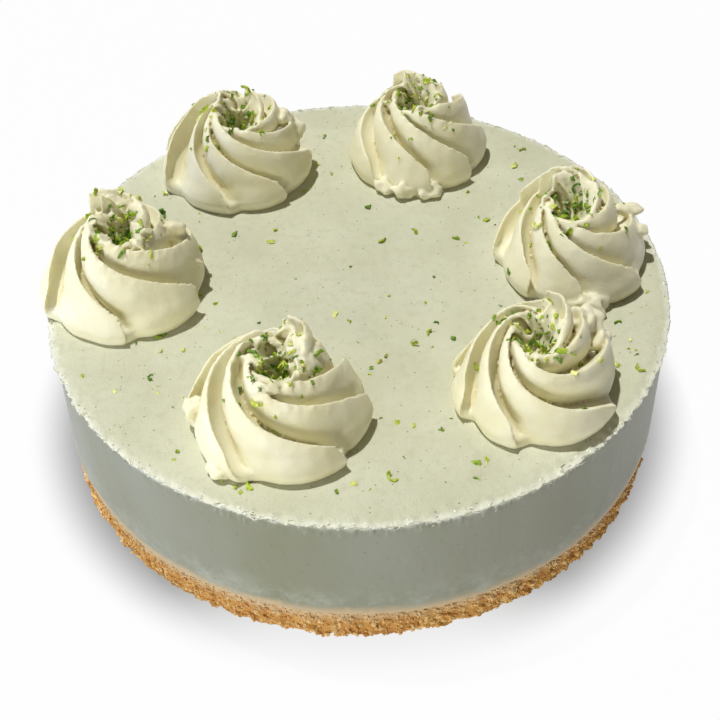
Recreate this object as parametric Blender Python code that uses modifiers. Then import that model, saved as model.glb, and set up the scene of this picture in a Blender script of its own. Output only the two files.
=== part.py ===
# Lime cheesecake: a round set filling on a biscuit crumb base, with six piped swirls and lime zest on top.
# Metres, +Z up. The origin is the middle of the crumb base's flat underside, and the front is -Y.
import math
import random

import bmesh
import bpy
import numpy as np
from mathutils import Matrix, Vector, noise
from mathutils.bvhtree import BVHTree

# Driving dimensions
CAKE_RADIUS = 0.090
CAKE_HEIGHT = 0.050
CRUMB_HEIGHT = 0.0115
GAP = 0.0003  # between layers that touch

# The crumb base
CRUMB_RADIUS = 0.0887
CRUMB_STEPS = 144
CRUMB_RAGGED = 0.0016  # how far crumbs stand out of or sink into the side
CRUMB_GRAIN = 0.0055
CRUMB_FOOT = 0.0006  # how far the side's foot is worn back and up

# The filling
FILLING_STEPS = 120
RIM_FALL = 0.0007  # how far the top's edge falls away, at most
RIM_WIDTH = 0.0028
SIDE_WAVE = 0.0004
SIDE_WAVE_LENGTH = 0.035

# A piped swirl is a dome of blades that wind outward and down from the hollow in its crown to its foot.
# Each row of SWIRL_PROFILE is one ring of the dome: its radius as a share of the foot's, its height as a
# share of the crown's, and the depth of the grooves between the blades.
SWIRL_PROFILE = (
    (0.00, 0.60, 0.0000),
    (0.09, 0.64, 0.0006),
    (0.15, 0.84, 0.0014),
    (0.22, 1.00, 0.0022),
    (0.32, 1.00, 0.0034),
    (0.50, 0.87, 0.0048),
    (0.70, 0.66, 0.0056),
    (0.87, 0.40, 0.0054),
    (0.97, 0.18, 0.0046),
    (1.00, 0.04, 0.0040),
    (0.97, -0.06, 0.0036),
)
CROWN_RING = 3  # the profile's highest ring, where the blades begin
RINGS_PER_STEP = 3
COLUMNS = 168
CREST_PLACE = 0.78  # where a blade's crest lies between its two grooves: beyond it the blade drops steeply
BLADE_BULGE = 1.7
BLADE_LEAN = 0.26  # how far a crest hangs over the next groove, in blade widths
LEAN_SHARPNESS = 3  # the higher, the nearer to the crest the lean begins
LEAN_FROM = 1 / 3  # share of the foot's radius inside which the lean fades
STEP_SPREAD = 0.7  # the lower, the nearer the step comes to the crown's middle and to the foot
BLADE_UNEVENNESS = 0.18
SWIRL_VOXEL = 0.001
SOFTEN_PASSES = 2
SWIRL_TRIANGLES = 1200

# Each swirl: its direction on the cake in degrees and distance from the middle, its foot's radius and height,
# its blades, the degrees that a blade winds, the direction of the first blade, the share by which the crown
# is higher where the cream ended, that end's direction, and how far the crown stands aside in X and Y.
SWIRLS = (
    (180.6, 0.0683, 0.0235, 0.0235, 7, 165, 20, 0.30, -20, 0.0030, 0.0020),
    (124.5, 0.0668, 0.0230, 0.0240, 8, 150, 0, 0.25, 60, 0.0020, 0.0010),
    (72.8, 0.0650, 0.0225, 0.0245, 7, 140, 40, 0.30, 100, 0.0000, 0.0010),
    (7.6, 0.0640, 0.0228, 0.0240, 7, 160, 10, 0.25, 80, -0.0020, 0.0020),
    (-45.0, 0.0660, 0.0224, 0.0220, 8, 150, 30, 0.25, 60, 0.0000, 0.0010),
    (-111.4, 0.0594, 0.0240, 0.0235, 8, 160, 0, 0.30, 30, 0.0000, 0.0015),
)

# Lime zest that shows from a step away
ZEST_ON_FILLING = 42
ZEST_ON_SWIRL = 7
ZEST_LENGTH = (0.0018, 0.0034)
ZEST_WIDTH = 0.0010
ZEST_THICKNESS = 0.0006
ZEST_SUNK = 0.35  # share of its thickness below the surface
ZEST_CLEARANCE = 0.0026  # from a swirl's edge
ZEST_SPREAD = 0.011  # mean distance that it fell from a swirl
ZEST_REACH = 0.012  # from a swirl's middle
SCATTER_TRIES = 3000


def clear_scene():
    for obj in list(bpy.data.objects):
        bpy.data.objects.remove(obj)


def make_material(name, colour, roughness):
    material = bpy.data.materials.new(name)
    material.use_nodes = True
    shader = material.node_tree.nodes["Principled BSDF"]
    shader.inputs["Base Color"].default_value = (*colour, 1.0)
    shader.inputs["Roughness"].default_value = roughness
    shader.inputs["Metallic"].default_value = 0.0
    return material


def add_object(name, mesh, collection, material=None):
    obj = bpy.data.objects.new(name, mesh)
    collection.objects.link(obj)
    if material:
        mesh.materials.clear()
        mesh.materials.append(material)
    return obj


def apply_modifiers(obj):
    """Replaces the object's mesh by its evaluated one."""
    graph = bpy.context.evaluated_depsgraph_get()
    mesh = bpy.data.meshes.new_from_object(obj.evaluated_get(graph))
    obj.modifiers.clear()
    obj.data = mesh


def smoothstep(value, low, high):
    t = min(max((value - low) / (high - low), 0.0), 1.0)
    return t * t * (3 - 2 * t)


def turned(name, profile, steps, collection, material):
    """A closed turned solid from (radius, height) pairs, from the axis on top round to the axis below."""
    mesh = bpy.data.meshes.new(name)
    points = [(radius, 0.0, height) for radius, height in profile]
    mesh.from_pydata(points, [(i, i + 1) for i in range(len(points) - 1)], [])
    obj = add_object(name, mesh, collection, material)
    screw = obj.modifiers.new("turn", "SCREW")
    screw.steps = screw.render_steps = steps
    screw.use_merge_vertices = True
    screw.merge_threshold = 0.00005
    apply_modifiers(obj)
    return obj


def make_crumb_base(collection, material):
    """A pressed biscuit disc with a craggy side and a flat underside."""
    top = CRUMB_HEIGHT - GAP
    side_heights = [top, top * 0.72, top * 0.45, top * 0.2, 0.0]
    profile = [(0.0, top)]
    profile += [(CRUMB_RADIUS, height) for height in side_heights]
    profile += [(0.0, 0.0)]
    obj = turned("crumb_base", profile, CRUMB_STEPS, collection, material)
    for vertex in obj.data.vertices:
        flat = Vector((vertex.co.x, vertex.co.y, 0.0))
        if flat.length < CRUMB_RADIUS / 2:
            continue
        share = vertex.co.z / top
        lump = noise.noise(vertex.co / CRUMB_GRAIN) + 0.5 * noise.noise(vertex.co * 2.3 / CRUMB_GRAIN)
        edge = math.sin(math.pi * min(share + 0.18, 1.0))  # crumbs stand out most low on the side
        outward = CRUMB_RAGGED * lump * (0.35 + 0.65 * edge) - 2 * CRUMB_FOOT * (1 - share) ** 3
        vertex.co += flat.normalized() * outward
    return obj


def make_filling(collection, material):
    """The set filling: a flat top that falls away unevenly at its rim, and a nearly smooth side."""
    bottom = CRUMB_HEIGHT
    height = CAKE_HEIGHT - bottom
    profile = [
        (0.0, CAKE_HEIGHT),
        (CAKE_RADIUS - RIM_WIDTH, CAKE_HEIGHT),
        (CAKE_RADIUS - RIM_WIDTH * 0.3, CAKE_HEIGHT),
        (CAKE_RADIUS, CAKE_HEIGHT - RIM_FALL),
        (CAKE_RADIUS, bottom + height * 0.55),
        (CAKE_RADIUS, bottom),
        (0.0, bottom),
    ]
    obj = turned("filling", profile, FILLING_STEPS, collection, material)
    for vertex in obj.data.vertices:
        flat = Vector((vertex.co.x, vertex.co.y, 0.0))
        if flat.length < CAKE_RADIUS - RIM_WIDTH * 0.5:
            continue
        wave = noise.noise(vertex.co / SIDE_WAVE_LENGTH) * SIDE_WAVE
        chip = abs(noise.noise(vertex.co / (3 * RIM_WIDTH)))
        if vertex.co.z > CAKE_HEIGHT - 2 * RIM_FALL:
            vertex.co.z -= chip * RIM_FALL
            wave -= chip * RIM_FALL
        vertex.co += flat.normalized() * wave
    return obj


def profile_at(ring):
    """Radius, height and groove depth at a place along the profile, also between two of its rings."""
    places = range(len(SWIRL_PROFILE))
    return [float(np.interp(ring, places, column)) for column in zip(*SWIRL_PROFILE)]


def swirl_point(ring, turn, swirl, uneven):
    """A point of the dome of blades. turn is the direction from the swirl's middle, in radians."""
    foot, height, blades, sweep, first, step, end, aside_x, aside_y = swirl
    wide, high, depth = profile_at(ring)
    wound = math.radians(sweep) * (ring - CROWN_RING) / (len(SWIRL_PROFILE) - 1 - CROWN_RING)
    blade = (turn - math.radians(first) - wound) * blades / (2 * math.pi)
    place = blade % 1.0
    if place < CREST_PLACE:
        rise = 1 - (1 - place / CREST_PLACE) ** BLADE_BULGE
    else:
        rise = 1 - smoothstep(place, CREST_PLACE, 1.0)
    thick = 1 + uneven[math.floor(blade) % blades]
    inner, outer = profile_at(ring - 0.5), profile_at(ring + 0.5)
    outward = Vector((height * (inner[1] - outer[1]), foot * (outer[0] - inner[0]))).normalized()
    groove = depth * (rise * thick - 1)
    radius = max(foot * wide + outward.x * groove, 0.0)
    level = height * high + outward.y * groove
    # The rope of cream climbs as it goes round and ends in a step.
    climb = ((turn - math.radians(end)) / (2 * math.pi)) % 1.0
    level *= 1 + step * (climb - 0.5) * math.sin(math.pi * min(wide, 1.0)) ** STEP_SPREAD
    turn += BLADE_LEAN * 2 * math.pi / blades * rise**LEAN_SHARPNESS * min(wide / LEAN_FROM, 1.0)
    crown = Vector((aside_x, aside_y, 0.0)) * max(level / height, 0.0)
    return crown + Vector((radius * math.cos(turn), radius * math.sin(turn), level))


def swirl_mesh(name, swirl, seed):
    """The dome of blades as a closed surface that may pass through itself. A remesh makes it one solid."""
    draw = random.Random(seed)
    uneven = [draw.uniform(-BLADE_UNEVENNESS, BLADE_UNEVENNESS) for _ in range(swirl[2])]
    ring_count = RINGS_PER_STEP * (len(SWIRL_PROFILE) - 1)
    bm = bmesh.new()
    rings = [
        [
            bm.verts.new(swirl_point(ring / RINGS_PER_STEP, 2 * math.pi * k / COLUMNS, swirl, uneven))
            for k in range(COLUMNS)
        ]
        for ring in range(ring_count + 1)
    ]
    for ring, following in zip(rings, rings[1:]):
        for k in range(COLUMNS):
            after = (k + 1) % COLUMNS
            bm.faces.new((ring[k], following[k], following[after], ring[after]))
    bmesh.ops.contextual_create(bm, geom=rings[-1])
    bmesh.ops.remove_doubles(bm, verts=bm.verts, dist=1e-6)
    bmesh.ops.recalc_face_normals(bm, faces=bm.faces)
    mesh = bpy.data.meshes.new(name)
    bm.to_mesh(mesh)
    bm.free()
    return mesh


def thin_out(obj, triangles):
    """Brings a remeshed object down to about this many triangles."""
    faces = sum(len(face.vertices) - 2 for face in obj.data.polygons)
    decimate = obj.modifiers.new("thin", "DECIMATE")
    decimate.ratio = min(triangles / faces, 1.0)
    apply_modifiers(obj)


def keep_largest_shell(obj):
    """Drops loose scraps and fills sealed hollows: only the shell with the most faces stays."""
    bm = bmesh.new()
    bm.from_mesh(obj.data)
    waiting = set(bm.faces)
    shells = []
    while waiting:
        front = [waiting.pop()]
        shell = list(front)
        while front:
            for edge in front.pop().edges:
                for face in edge.link_faces:
                    if face in waiting and len(edge.link_faces) == 2:
                        waiting.discard(face)
                        shell.append(face)
                        front.append(face)
        shells.append(shell)
    shells.sort(key=len)
    loose = [face for shell in shells[:-1] for face in shell]
    bmesh.ops.delete(bm, geom=loose, context="FACES")
    bm.to_mesh(obj.data)
    bm.free()


def make_trimmer(collection):
    """A slab whose top is where the swirls stand. It cuts each swirl flat underneath."""
    bpy.ops.mesh.primitive_cube_add(size=1)
    slab = bpy.context.object
    slab.name = "swirl_trimmer"
    for owner in slab.users_collection:
        owner.objects.unlink(slab)
    collection.objects.link(slab)
    depth = 0.02
    slab.data.transform(Matrix.Diagonal((4 * CAKE_RADIUS, 4 * CAKE_RADIUS, depth, 1.0)))
    slab.location.z = CAKE_HEIGHT + GAP - depth / 2
    slab.hide_render = True
    slab.display_type = "WIRE"
    return slab


def make_swirl(number, row, trimmer, collection, material):
    direction, distance, *swirl = row
    name = f"swirl_{number}"
    obj = add_object(name, swirl_mesh(name, swirl, seed=number), collection, material)
    remesh = obj.modifiers.new("fuse", "REMESH")
    remesh.mode = "VOXEL"
    remesh.voxel_size = SWIRL_VOXEL
    soften = obj.modifiers.new("soften", "SMOOTH")
    soften.factor = 0.5
    soften.iterations = SOFTEN_PASSES
    apply_modifiers(obj)
    thin_out(obj, SWIRL_TRIANGLES)
    turn = math.radians(direction)
    place = Vector((distance * math.cos(turn), distance * math.sin(turn), CAKE_HEIGHT))
    obj.data.transform(Matrix.Translation(place))
    trim = obj.modifiers.new("trim", "BOOLEAN")
    trim.operation = "DIFFERENCE"
    trim.object = trimmer
    apply_modifiers(obj)
    keep_largest_shell(obj)
    return obj


def zest_flake(collection, point, normal, draw):
    """A sliver of peel, bent over its length and pointed at one end, lying on a surface."""
    bm = bmesh.new()
    bmesh.ops.create_cube(bm, size=1.0)
    length = draw.uniform(*ZEST_LENGTH)
    for vertex in bm.verts:
        taper = 0.45 if vertex.co.x > 0 else 1.0
        vertex.co.y *= ZEST_WIDTH * taper
        vertex.co.x *= length
        vertex.co.z = (vertex.co.z + 0.5 - ZEST_SUNK) * ZEST_THICKNESS
    tilt = normal.to_track_quat("Z", "Y").to_matrix().to_4x4()
    spin = Matrix.Rotation(draw.uniform(0, 2 * math.pi), 4, "Z")
    bm.transform(Matrix.Translation(point) @ tilt @ spin)
    mesh = bpy.data.meshes.new("zest")
    bm.to_mesh(mesh)
    bm.free()
    add_object("zest", mesh, collection)


def fuse_zest(obj, flakes):
    """One union joins every flake of the collection to what it lies on."""
    union = obj.modifiers.new("zest", "BOOLEAN")
    union.operation = "UNION"
    union.operand_type = "COLLECTION"
    union.collection = flakes
    apply_modifiers(obj)
    keep_largest_shell(obj)
    for flake in list(flakes.objects):
        bpy.data.objects.remove(flake)


def swirl_centres():
    return [
        Vector((row[1] * math.cos(math.radians(row[0])), row[1] * math.sin(math.radians(row[0])), 0.0))
        for row in SWIRLS
    ]


def scatter_on_filling(filling, flakes):
    """Zest that fell beside the swirls: near one of them, clear of all, and inside the rim."""
    draw = random.Random(11)
    centres = swirl_centres()
    reach = [row[2] for row in SWIRLS]
    placed = []
    for _ in range(SCATTER_TRIES):
        k = draw.randrange(len(SWIRLS))
        away = reach[k] + ZEST_CLEARANCE + draw.expovariate(1 / ZEST_SPREAD)
        turn = draw.uniform(0, 2 * math.pi)
        spot = centres[k] + Vector((away * math.cos(turn), away * math.sin(turn), 0.0))
        clear = all((spot - c).length > r + ZEST_CLEARANCE for c, r in zip(centres, reach))
        apart = all((spot - other).length > 2 * ZEST_LENGTH[1] for other in placed)
        if clear and apart and spot.length < CAKE_RADIUS - RIM_WIDTH - ZEST_LENGTH[1]:
            placed.append(spot)
            zest_flake(flakes, spot + Vector((0, 0, CAKE_HEIGHT)), Vector((0, 0, 1)), draw)
        if len(placed) == ZEST_ON_FILLING:
            break
    fuse_zest(filling, flakes)


def scatter_on_swirl(number, swirl, flakes):
    """Zest dropped on the middle of a swirl, found by looking straight down on it."""
    draw = random.Random(30 + number)
    centre = swirl_centres()[number - 1]
    above = Vector((0, 0, 2 * CAKE_HEIGHT))
    bm = bmesh.new()
    bm.from_mesh(swirl.data)
    surface = BVHTree.FromBMesh(bm)
    bm.free()
    placed = []
    for _ in range(SCATTER_TRIES):
        away = ZEST_REACH * math.sqrt(draw.random())
        turn = draw.uniform(0, 2 * math.pi)
        spot = centre + Vector((away * math.cos(turn), away * math.sin(turn), 0.0))
        point, normal, _, _ = surface.ray_cast(spot + above, Vector((0, 0, -1)))
        if point is None or normal.z < 0.5:
            continue
        if all((point - other).length > 1.3 * ZEST_LENGTH[1] for other in placed):
            placed.append(point)
            zest_flake(flakes, point, normal, draw)
        if len(placed) == ZEST_ON_SWIRL:
            break
    fuse_zest(swirl, flakes)


def main():
    clear_scene()
    cake = bpy.data.collections.new("lime_cheesecake")
    cutters = bpy.data.collections.new("cutters")
    flakes = bpy.data.collections.new("zest_flakes")
    for collection in (cake, cutters, flakes):
        bpy.context.scene.collection.children.link(collection)
    biscuit = make_material("biscuit_crumb", (0.46, 0.29, 0.10), 0.85)
    lime_filling = make_material("lime_filling", (0.65, 0.65, 0.48), 0.45)
    cream = make_material("piped_cream", (0.80, 0.78, 0.56), 0.45)
    make_crumb_base(cake, biscuit)
    filling = make_filling(cake, lime_filling)
    scatter_on_filling(filling, flakes)
    trimmer = make_trimmer(cutters)
    for number, row in enumerate(SWIRLS, 1):
        swirl = make_swirl(number, row, trimmer, cake, cream)
        scatter_on_swirl(number, swirl, flakes)


main()
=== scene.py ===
import math
import random

import bmesh
import bpy
from mathutils import Matrix, Vector, noise


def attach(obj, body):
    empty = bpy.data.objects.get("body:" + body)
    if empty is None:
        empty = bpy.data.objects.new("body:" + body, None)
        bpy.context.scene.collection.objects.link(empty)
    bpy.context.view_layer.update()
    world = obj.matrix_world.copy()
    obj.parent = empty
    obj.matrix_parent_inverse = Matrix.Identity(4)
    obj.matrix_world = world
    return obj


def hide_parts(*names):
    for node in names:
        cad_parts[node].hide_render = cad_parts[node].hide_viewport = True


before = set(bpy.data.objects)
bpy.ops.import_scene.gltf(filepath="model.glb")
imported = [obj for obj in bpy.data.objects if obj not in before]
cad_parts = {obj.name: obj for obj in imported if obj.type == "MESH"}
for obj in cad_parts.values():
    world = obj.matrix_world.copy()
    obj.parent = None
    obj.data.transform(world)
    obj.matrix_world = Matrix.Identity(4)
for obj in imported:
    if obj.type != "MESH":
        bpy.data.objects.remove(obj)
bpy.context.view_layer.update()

mm = 0.001
cakeRadius = 0.090
crumbRadius = 0.0887
cakeTop = 0.050
crumbTop = 0.0115
layerGap = 0.0003


def linear(hexColour):
    channels = [int(hexColour[i:i + 2], 16) / 255 for i in (1, 3, 5)]
    return (*[c / 12.92 if c <= 0.04045 else ((c + 0.055) / 1.055) ** 2.4 for c in channels], 1.0)


def addNode(tree, kind, settings=None, inputs=None):
    node = tree.nodes.new(kind)
    for name, value in (settings or {}).items():
        if name == "stops":  # place and colour along a ramp
            while len(node.color_ramp.elements) < len(value):
                node.color_ramp.elements.new(0.5)
            for element, (place, colour) in zip(node.color_ramp.elements, value):
                element.position = place
                element.color = linear(colour)
        elif name == "points":  # shape of a float curve
            points = node.mapping.curves[0].points
            while len(points) < len(value):
                points.new(0.5, 0.5)
            for point, place in zip(points, value):
                point.location = place
            node.mapping.update()
        else:
            setattr(node, name, value)
    feed(tree, node, inputs or {})
    return node


def feed(tree, node, inputs):  # links and fixed values, where a node stands for its first output
    for name, value in inputs.items():
        if isinstance(value, bpy.types.Node):
            value = value.outputs[0]
        if isinstance(value, bpy.types.NodeSocket):
            tree.links.new(value, node.inputs[name])
        else:
            node.inputs[name].default_value = value


def newTree(name, sizes):
    tree = bpy.data.node_groups.new(name, "GeometryNodeTree")
    tree.interface.new_socket("Geometry", in_out="INPUT", socket_type="NodeSocketGeometry")
    tree.interface.new_socket("Geometry", in_out="OUTPUT", socket_type="NodeSocketGeometry")
    for label, kind in sizes.items():
        tree.interface.new_socket(label, in_out="INPUT", socket_type="NodeSocket" + kind)
    return tree, addNode(tree, "NodeGroupInput").outputs


def endTree(tree, geometry, material):
    real = addNode(tree, "GeometryNodeRealizeInstances", {}, {"Geometry": geometry})
    coloured = addNode(tree, "GeometryNodeSetMaterial", {}, {"Geometry": real, "Material": material})
    addNode(tree, "NodeGroupOutput", {}, {"Geometry": coloured})


def newPiece(name, data=None):
    piece = bpy.data.objects.new(name, data or bpy.data.meshes.new(name))
    bpy.context.scene.collection.objects.link(piece)
    return piece


def growNodes(piece, tree, values):
    modifier = piece.modifiers.new(tree.name, "NODES")
    modifier.node_group = tree
    labels = {item.name: item.identifier for item in tree.interface.items_tree if item.in_out == "INPUT"}
    for label, value in values.items():
        modifier[labels[label]] = value


def settle(piece, smooth=True):  # modifiers become plain mesh
    graph = bpy.context.evaluated_depsgraph_get()
    mesh = bpy.data.meshes.new_from_object(piece.evaluated_get(graph), depsgraph=graph)
    piece.modifiers.clear()
    piece.data = mesh
    mesh.polygons.foreach_set("use_smooth", [smooth] * len(mesh.polygons))


def handOver(piece, slot, *nodes):
    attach(piece, "root")
    if nodes:
        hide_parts(*nodes)
    low, high = piece.bound_box[0], piece.bound_box[6]
    print(piece.name, len(piece.data.polygons), "faces, mm", *[round(v / mm, 1) for v in (*low, *high)])


# What several trees share: a random tone for each instance, and loose pieces that are bent and creased by noise
def giveTones(tree, instances, seed):
    shade = addNode(tree, "FunctionNodeRandomValue", {}, {2: 0.0, 3: 1.0, "Seed": seed})
    return addNode(tree, "GeometryNodeStoreNamedAttribute", {"domain": "INSTANCE"},
                   {"Geometry": instances, "Name": "tone", "Value": shade.outputs[1]})


def bendLoose(tree, instances, perMetre, detail, by):
    loose = addNode(tree, "GeometryNodeRealizeInstances", {}, {"Geometry": instances})
    bend = addNode(tree, "ShaderNodeTexNoise", {"normalize": False}, {"Scale": perMetre, "Detail": detail})
    bendBy = addNode(tree, "ShaderNodeVectorMath", {"operation": "SCALE"}, {0: bend.outputs["Color"], "Scale": by})
    return addNode(tree, "GeometryNodeSetPosition", {}, {"Geometry": loose, "Offset": bendBy})


def curledStrip(tree, bend, sweep, steps, drop, section, taper):  # a bent strip that thins towards its ends
    arc = addNode(tree, "GeometryNodeCurveArc", {}, {
        "Resolution": steps, "Radius": bend, "Start Angle": math.radians(90 - sweep / 2),
        "Sweep Angle": math.radians(sweep)})
    centred = addNode(tree, "GeometryNodeTransform", {}, {"Geometry": arc, "Translation": (0.0, -drop, 0.0)})
    width = addNode(tree, "ShaderNodeFloatCurve", {"points": taper},
                    {"Value": addNode(tree, "GeometryNodeSplineParameter").outputs["Factor"]})
    thinned = addNode(tree, "GeometryNodeSetCurveRadius", {}, {"Curve": centred, "Radius": width})
    ribbon = addNode(tree, "GeometryNodeCurvePrimitiveQuadrilateral", {}, {"Width": section[0], "Height": section[1]})
    return addNode(tree, "GeometryNodeCurveToMesh", {}, {
        "Curve": thinned, "Profile Curve": ribbon, "Fill Caps": True})


def newMaterial(name):
    material = bpy.data.materials.new(name)
    material.use_nodes = True
    shader = material.node_tree.nodes["Principled BSDF"]
    place = addNode(material.node_tree, "ShaderNodeTexCoord").outputs["Object"]
    return material, material.node_tree, shader, place


# Set cheese filling: chilled in a ring, matt, with fine pores and ground spice in it. Slightly see-through.
fillingLook = {
    "top": "#d1d2ba", "topDark": "#c5c6ab", "blotch": "#bcbd9f", "edge": "#e6e8da", "speck": "#6f6a4a",
    # The side's two colours are painted shade: set darker than the top's, though it is the same filling
    "side": "#8f9184", "sideDark": "#848670", "smear": "#a4a698", "scratchAndLipShade": "#5d604f", "scrape": "#c9cbc2",
    "tan": "#bca784", "poreSize": 0.7 * mm, "speckSize": 1.5 * mm, "cloudSize": 22 * mm, "blotchSize": 2.6 * mm,
    "bandsPerMetre": 26.0, "smearsPerMetre": 90.0,
    "scratchesPerMetre": 850.0,  # real ones are finer and would not show
}


def setFilling():
    look = fillingLook
    material, tree, shader, place = newMaterial("setLimeFilling")
    cloud = addNode(tree, "ShaderNodeTexNoise", {}, {"Vector": place, "Scale": 1 / look["cloudSize"], "Detail": 4.0})
    top = addNode(tree, "ShaderNodeValToRGB", {"stops": [(0.3, look["topDark"]), (0.7, look["top"])]},
                  {"Fac": cloud.outputs["Fac"]})
    patch = addNode(tree, "ShaderNodeTexNoise", {}, {
        "Vector": place, "Scale": 1 / look["blotchSize"], "Detail": 5.0, "Roughness": 0.65})
    patchEdge = addNode(tree, "ShaderNodeMapRange", {}, {
        "Value": patch.outputs["Fac"], "From Min": 0.5, "From Max": 0.7, "To Max": 0.55})
    mottled = addNode(tree, "ShaderNodeMix", {"data_type": "RGBA"},
                      {0: patchEdge, 6: top, 7: linear(look["blotch"])})
    # Ground specks: the middles of a few cells
    cells = addNode(tree, "ShaderNodeTexVoronoi", {}, {"Vector": place, "Scale": 1 / look["speckSize"]})
    near = addNode(tree, "ShaderNodeMath", {"operation": "LESS_THAN"}, {0: cells.outputs["Distance"], 1: 0.16})
    pick = addNode(tree, "ShaderNodeSeparateColor", {}, {"Color": cells.outputs["Color"]})
    few = addNode(tree, "ShaderNodeMath", {"operation": "LESS_THAN"}, {0: pick, 1: 0.16})
    speck = addNode(tree, "ShaderNodeMath", {"operation": "MULTIPLY"}, {0: near, 1: few})
    soft = addNode(tree, "ShaderNodeMath", {"operation": "MULTIPLY"}, {0: speck, 1: 0.7})
    # Side: wide faint upright bands where the ring was drawn off
    streakPlace = addNode(tree, "ShaderNodeMapping", {}, {"Vector": place, "Scale": (1.0, 1.0, 0.4)})
    streak = addNode(tree, "ShaderNodeTexNoise", {}, {
        "Vector": streakPlace, "Scale": look["bandsPerMetre"], "Detail": 3.0})
    side = addNode(tree, "ShaderNodeValToRGB", {"stops": [(0.32, look["sideDark"]), (0.62, look["side"])]},
                   {"Fac": streak.outputs["Fac"]})
    where = addNode(tree, "ShaderNodeSeparateXYZ", {}, {"Vector": place})
    normal = addNode(tree, "ShaderNodeNewGeometry")
    facing = addNode(tree, "ShaderNodeSeparateXYZ", {}, {"Vector": normal.outputs["Normal"]})
    onTop = addNode(tree, "ShaderNodeMapRange", {}, {"Value": facing.outputs["Z"], "From Min": 0.35, "From Max": 0.8})
    # Painted shade: faces turned away from the top take the darker side colours
    base = addNode(tree, "ShaderNodeMix", {"data_type": "RGBA"}, {0: onTop, 6: side, 7: mottled.outputs[2]})
    # Whitish smears low on the side, and the tan of soaked crumb that fades upwards
    blotch = addNode(tree, "ShaderNodeTexNoise", {}, {
        "Vector": place, "Scale": look["smearsPerMetre"], "Detail": 7.0, "Roughness": 0.74})
    lowSide = addNode(tree, "ShaderNodeMapRange", {"interpolation_type": "SMOOTHSTEP"},
                      {"Value": where.outputs["Z"], "From Min": 26 * mm, "From Max": 14 * mm})
    blotchEdge = addNode(tree, "ShaderNodeMapRange", {}, {
        "Value": blotch.outputs["Fac"], "From Min": 0.46, "From Max": 0.66})
    smear = addNode(tree, "ShaderNodeMath", {"operation": "MULTIPLY"}, {0: lowSide, 1: blotchEdge})
    lift = addNode(tree, "ShaderNodeMath", {"operation": "MULTIPLY_ADD"},
                   {0: blotch.outputs["Fac"], 1: 9 * mm, 2: -4.5 * mm})
    wavyZ = addNode(tree, "ShaderNodeMath", {"operation": "ADD"}, {0: where.outputs["Z"], 1: lift})
    tan = addNode(tree, "ShaderNodeMapRange", {"interpolation_type": "SMOOTHSTEP"},
                  {"Value": wavyZ, "From Min": 15.4 * mm, "From Max": 11.8 * mm})
    torn = addNode(tree, "ShaderNodeAttribute", {"attribute_name": "torn"})  # the drier rim
    layers = [(smear, "smear"), (tan, "tan"), (torn.outputs["Fac"], "edge"), (soft, "speck")]
    # Slanted scratches under the rim, dark and light; the dark ones, thickest just under the lip, are partly painted
    # shade of the overhanging lip
    scratchPlace = addNode(tree, "ShaderNodeMapping", {}, {
        "Vector": place, "Rotation": (0.0, 0.5, 0.0), "Scale": (1.0, 1.0, 0.22)})
    scratchAndLipShade = addNode(tree, "ShaderNodeTexNoise", {}, {
        "Vector": scratchPlace, "Scale": look["scratchesPerMetre"], "Detail": 4.0, "Roughness": 0.6})
    nearRim = addNode(tree, "ShaderNodeMapRange", {"interpolation_type": "SMOOTHSTEP"},
                      {"Value": where.outputs["Z"], "From Min": 43.5 * mm, "From Max": 49 * mm, "To Max": 0.6})
    beside = addNode(tree, "ShaderNodeMath", {"operation": "SUBTRACT"}, {0: 1.0, 1: onTop})
    much = addNode(tree, "ShaderNodeMath", {"operation": "MULTIPLY"}, {0: beside, 1: nearRim})
    for low, high, tone in ((0.44, 0.36, "scratchAndLipShade"), (0.57, 0.66, "scrape")):
        line = addNode(tree, "ShaderNodeMapRange", {}, {
            "Value": scratchAndLipShade.outputs["Fac"], "From Min": low, "From Max": high})
        shown = addNode(tree, "ShaderNodeMath", {"operation": "MULTIPLY"}, {0: line, 1: much})
        layers.append((shown, tone))
    colour = base.outputs[2]
    for share, tone in layers:
        colour = addNode(tree, "ShaderNodeMix", {"data_type": "RGBA"},
                         {0: share, 6: colour, 7: linear(look[tone])}).outputs[2]
    # Pores and a grainy skin on top, nearly smooth on the side
    pores = addNode(tree, "ShaderNodeTexVoronoi", {"feature": "SMOOTH_F1"},
                    {"Vector": place, "Scale": 1 / (2.2 * look["poreSize"]), "Smoothness": 0.4})
    pit = addNode(tree, "ShaderNodeMapRange", {}, {"Value": pores.outputs["Distance"], "From Max": 0.28})
    grain = addNode(tree, "ShaderNodeTexNoise", {}, {
        "Vector": place, "Scale": 1 / look["poreSize"], "Detail": 5.0, "Roughness": 0.65})
    skin = addNode(tree, "ShaderNodeMath", {"operation": "MULTIPLY_ADD"},
                   {0: pit, 1: 0.35, 2: grain.outputs["Fac"]})
    relief = addNode(tree, "ShaderNodeMapRange", {}, {"Value": onTop, "To Min": 0.12, "To Max": 0.55})
    bump = addNode(tree, "ShaderNodeBump", {}, {"Strength": relief, "Distance": 0.35 * mm, "Height": skin})
    rough = addNode(tree, "ShaderNodeMapRange", {}, {"Value": onTop, "To Min": 0.42, "To Max": 0.62})
    feed(tree, shader, {
        "Base Color": colour, "Normal": bump, "Roughness": rough, "IOR": 1.42,
        "Specular IOR Level": 0.22, "Subsurface Weight": 0.25, "Subsurface Radius": (1.0, 0.9, 0.6),
        "Subsurface Scale": 2.5 * mm})
    return material


# The filling's dried skin: paler where it is thin, with a dull shine
def driedSkin():
    material, tree, shader, place = newMaterial("driedFillingSkin")
    cloud = addNode(tree, "ShaderNodeTexNoise", {}, {"Vector": place, "Scale": 400.0, "Detail": 3.0})
    tint = addNode(tree, "ShaderNodeValToRGB", {"stops": [(0.35, fillingLook["top"]), (0.65, fillingLook["edge"])]},
                   {"Fac": cloud.outputs["Fac"]})
    feed(tree, shader, {"Base Color": tint, "Roughness": 0.38, "IOR": 1.42})
    return material
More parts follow.
